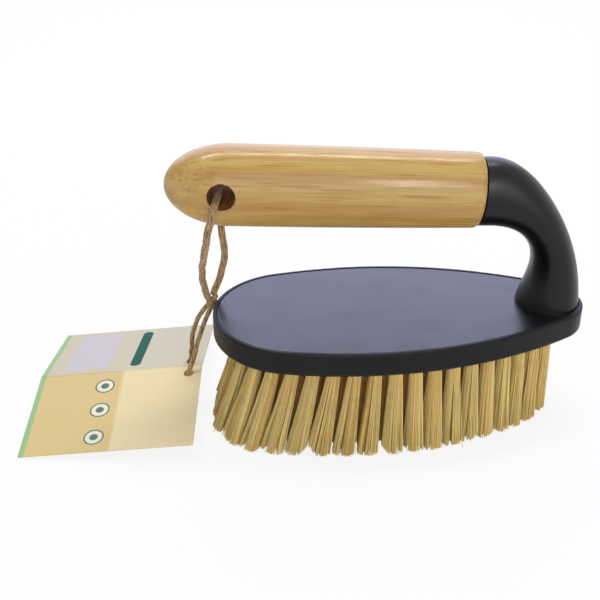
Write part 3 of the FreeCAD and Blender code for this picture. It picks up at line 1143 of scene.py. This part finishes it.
    def knot(self, centre: Sequence[float], size: float, turn: Quaternion) -> list[Vector]:
        """Middle line of a tight overhand knot, a trefoil that reaches three units from its middle.

        Args:
            centre: Its middle, in millimetres.
            size: Its outer size, in metres.
            turn: How it is turned.

        Returns:
            Points of the line.
        """
        unit = (size - self.tail_diameter) / 6 / MM
        points = []
        for index in range(self.knot_steps + 1):
            angle = math.tau * index / self.knot_steps
            place = Vector((
                math.sin(angle) + 2 * math.sin(2 * angle),
                math.cos(angle) - 2 * math.cos(2 * angle),
                -self.knot_rise * math.sin(3 * angle),
            ))
            points.append(Vector(centre) + turn @ (place * unit))
        return smooth_line(points)

    def build(self, material: Material) -> None:
        """Make the loop, both tails and both knots.

        Args:
            material: The twine's finish.
        """
        rng = random.Random(self.seed)
        upright = Quaternion((0.0, 0.0, 1.0), self.knot_turn) @ Quaternion((1.0, 0.0, 0.0), self.knot_tilt)
        level = Quaternion((0.0, 1.0, 0.0), self.tag_knot_tilt)
        thin = self.tail_diameter
        loop_line = smooth_line(self.loop)
        left_line = smooth_line(self.left_tail)
        right_line = smooth_line(self.right_tail)
        knot_line = self.knot(self.knot_centre, self.knot_size, upright)
        tag_line = self.knot(self.tag_knot_centre, self.tag_knot_size, level)

        def twine(name: str, node: str, mesh: Mesh, crossing: Crossing | None = None) -> Object:
            """Place one length of twine."""
            return make_piece(name, mesh, material, Body.LOOP, [node], crossing)

        loop = twine("loop_twine", "twine_loop", self.strands(loop_line, rng, self.diameter))
        knot = twine("loop_overhand_knot", "loop_knot", self.strands(knot_line, rng, thin, False))
        stopper = twine("tag_stopper_knot", "tag_knot", self.strands(tag_line, rng, thin, False))
        crossing = Crossing(Body.TAG_FAR, Vector(self.tail_hold) * MM, Vector(self.tail_end) * MM)
        left_mesh = self.strands(left_line, rng, thin, flare=self.left_fray_share * self.fray)
        left = twine("left_tail_twine", "twine_left_tail", left_mesh, crossing)
        right_mesh = self.strands(right_line, rng, thin, flare=self.fray)
        right = twine("right_tail_twine", "twine_right_tail", right_mesh)


@dataclass
class FoldedTag:
    """Card tag folded once, lying as a low tent."""

    ridge_start: Vector
    ridge: Vector
    length: float = 69.3 * MM
    slope: float = math.radians(8.6)
    card: float = 0.5 * MM
    crease_share: float = 0.62
    crease_sides: int = 12
    change_share: float = 0.52
    ring_along: float = 29.0 * MM
    rings_down_mm: Span = (8.7, 23.0, 38.5)
    ring_discs: tuple = ((4.1, "#4E8272"), (3.45, "#EFE6CB"), (1.7, "#4E8272"))
    field: PrintShape = PrintShape((18.2 * MM, 24.3 * MM), (9.5 * MM, 19.7 * MM), 0.4 * MM, "#C8C4C2")
    bar: PrintShape = PrintShape((39.5 * MM, 23.6 * MM), (2.3 * MM, 19.1 * MM), 2.2 * MM, "#1E5B4F")

    def panel_turn(self, down: Vector) -> tuple[float, float, float]:
        """Euler angles from the axes of the panel that runs down from the ridge to the shared frame."""
        axes = Matrix((self.ridge, down, self.ridge.cross(down))).transposed()
        return tuple(axes.to_euler())

    def rings(self) -> tuple[PrintShape, ...]:
        """Lay out the near half's rings.

        Returns:
            Three discs, each on the one before, for each ring.
        """
        found = []
        for down in self.rings_down_mm:
            for radius, tint in self.ring_discs:
                size = radius * MM
                found.append(PrintShape((self.ring_along, down * MM), (size, size), size, tint))
        return tuple(found)

    def dress(self) -> None:
        """Print both halves and close the crease with a bead of card between them."""
        side = Vector((-self.ridge.y, self.ridge.x, 0.0)).normalized()
        up = self.ridge.cross(side)
        near = -side * math.cos(self.slope) - up * math.sin(self.slope)
        far = side * math.cos(self.slope) - up * math.sin(self.slope)
        prints = {
            "near": (near, "#D9C58A", "#E8DAAA", self.rings(), -1.0),
            "far": (far, "#CAC5A9", "#CBC7AD", (self.field, self.bar), 1.0),
        }
        change = self.change_share * self.length
        cards = {}
        for name, (down, first, second, shapes, outer) in prints.items():
            turn = self.panel_turn(down)
            cards[name] = PrintedCard(
                f"printed_card_{name}", self.ridge_start, turn, first, second, change, shapes, outer).build()
            dress_node(f"tag_{name}_panel", cards[name])
        middle = self.ridge_start + up * (self.card / 2)
        radius = self.card * self.crease_share
        line = [(middle, radius), (middle + self.ridge * self.length, radius)]
        make_piece("tag_crease", tubes([line], self.crease_sides), cards["near"], Body.LOOP)


@dataclass
class Studio:
    """Pale floor, white surround, soft lamps and the camera. Each lamp: place, size, watts and colour."""

    eye: Vector
    target: Vector
    lens: float = 60.0
    sensor: float = 36.0
    clip_start: float = 0.01
    aim: tuple = (-0.02, 0.0, 0.06)
    ambient: float = 0.3
    floor_size: float = 4.0
    floor_level: float = -0.3 * MM
    floor_glow: float = 0.86
    lamps: tuple = (
        ("top_box", (-0.05, 0.19, 0.95), (0.9, 0.12), 4.6, "#FFF9F2"),
        ("back_box", (0.0, 0.84, 0.585), (1.6, 0.75), 8.4, "#C6C8FF"),
        ("high_box", (0.05, 0.52, 0.82), (1.0, 0.34), 1.5, "#D0D2FF"),
        ("front_box", (0.16, -0.85, 0.36), (1.0, 0.7), 3.5, "#FFFAF2"),
        ("front_panel", (0.225, -0.83, 0.42), (0.09, 0.22), 0.7, "#FFFAF2"),
    )

    def lamp(self, name: str, place: Span, size: Span, power: float, colour: str) -> None:
        """Hang a soft box that faces the brush.

        Args:
            name: Name of the lamp.
            place: Where it hangs, in metres.
            size: Its width and height.
            power: Its power in watts.
            colour: Its colour.
        """
        light = bpy.data.lights.new(name, "AREA")
        light.shape = "RECTANGLE"
        light.size, light.size_y = size
        light.energy = power
        light.color = linear(colour)[:3]
        lamp = show(name, light)
        lamp.location = place
        lamp.rotation_euler = (Vector(self.aim) - Vector(place)).to_track_quat("-Z", "Y").to_euler()

    def seen_share(self, paint: Paint) -> Socket:
        """Tell the rays that show a surface from those that light one.

        Args:
            paint: Adds the nodes.

        Returns:
            Socket that is 1 for what the camera sees, also in gloss or through glass.
        """
        share = paint.add("LightPath", "Is Camera Ray")
        path = share.node.outputs
        for kind in ("Is Glossy Ray", "Is Transmission Ray"):
            share = paint.add("Math", "Value", {0: share, 1: path[kind]}, operation="MAXIMUM")
        return share

    def surround(self) -> None:
        """Light the room evenly, and show it white to the camera and in gloss."""
        world = bpy.data.worlds.new("studio")
        bpy.context.scene.world = world
        world.use_nodes = True
        paint = Paint(world.node_tree)
        strength = paint.ramp(self.seen_share(paint), 0.0, 1.0, self.ambient, 1.0)
        paint.fill("Background", {"Color": WHITE, "Strength": strength})

    def floor(self) -> None:
        """Lay a wide pale floor that keeps the brush's shadow."""
        shape = bmesh.new()
        bmesh.ops.create_grid(shape, x_segments=1, y_segments=1, size=self.floor_size)
        bmesh.ops.translate(shape, verts=shape.verts, vec=(0.0, 0.0, self.floor_level))
        mesh = shape_to_mesh(shape, "floor")
        material = PalePaper("pale_paper_floor").build()
        paint = Paint(material.node_tree)
        paper = paint.tree.nodes["Principled BSDF"].outputs["BSDF"]
        glow = paint.add("Emission", "Emission", {"Color": WHITE, "Strength": 1.0})
        share = paint.ramp(self.seen_share(paint), 0.0, 1.0, 0.0, self.floor_glow)
        mixed = paint.add("MixShader", "Shader", {0: share, 1: paper, 2: glow})
        paint.fill("Material Output", {"Surface": mixed})
        mesh.materials.append(material)
        show("floor", mesh)

    def camera(self) -> None:
        """Set up the photograph's view."""
        data = bpy.data.cameras.new("camera")
        data.lens = self.lens
        data.sensor_width = self.sensor
        data.clip_start = self.clip_start
        item = show("camera", data)
        item.location = self.eye
        item.rotation_euler = (self.target - self.eye).to_track_quat("-Z", "Y").to_euler()
        bpy.context.scene.camera = item

    def build(self) -> None:
        """Build the whole studio."""
        bpy.context.scene.view_settings.view_transform = "Standard"
        self.surround()
        self.floor()
        for lamp in self.lamps:
            self.lamp(*lamp)
        self.camera()


def dress_plastic() -> None:
    """Finish the block and the cover, whose deck is glossier than its arm."""
    block = MouldedPlastic(
        "moulded_abs_block", "#0B0C0D", roughness=0.42, grain_mm=0.35, grain_depth_mm=0.02, gloss=0.18)
    cover = MouldedPlastic(
        "moulded_abs_cover", "#060708", roughness=0.31, grain_mm=0.3, grain_depth_mm=0.015,
        worn="#0E0F11", gloss=0.3, deck_level=45.8 * MM, deck_roughness=0.27)
    dress_node("bristle_block", block.build())
    dress_node("arm_cover", cover.build())


def plant_tufts() -> None:
    """Finish the screws and anchors, and draw every ring and row of tufts."""
    steel = ZincSteel("zinc_plated_steel").build()
    outer = PlantFibre("plant_leaf_fibre").build()
    # Painted shade: a browner copy of the fibre finish, reaching far down the fibres, for the rings and rows
    # behind the outer ring that show in the shaded gaps between tufts.
    inner = PlantFibre(
        "plant_leaf_fibre_painted_shade", painted_shade="#C87A1C", painted_shade_share=0.72, painted_shade_low=-16.0 * MM,
        painted_shade_high=28.0 * MM).build()
    dress_node("cover_screws", steel)
    groups = (
        ("outer_ring", 320, outer), ("second_ring", 300, inner), ("third_ring", 250, inner),
        ("inner_rows", 250, inner), ("middle_row", 250, inner),
    )
    first_seed = 11
    for seed, (group, fibres, straw) in enumerate(groups, first_seed):
        dress_node(group + "_anchors", steel)
        TuftGroup(group, fibres, seed).build(straw)


def main() -> None:
    """Build the studio, then every piece in order."""
    logging.basicConfig(level=logging.INFO, format="%(name)s %(message)s")
    joints = {joint["name"]: joint for joint in frame["record"]["behaviour"]["joints"]}
    Studio(eye=Vector((-68.35, -347.3, 243.57)) * MM, target=Vector((-40.12, 0.0, 50.42)) * MM).build()
    TwineHanger().build(JuteTwine("spun_jute").build())
    dress_plastic()
    plant_tufts()
    grip = Grip(end=Vector((28.841, 0.0, 95.2)) * MM, rise=math.radians(3.2))
    bamboo = VarnishedBamboo("varnished_bamboo", grip.end, math.pi + grip.rise)
    grip.build(bamboo.build(), DrilledBamboo("drilled_bamboo").build())
    fold = joints["tag_fold"]
    FoldedTag(Vector(fold["pos_m"]), Vector(fold["axis"]).normalized()).dress()


if __name__ == "__main__":
    main()
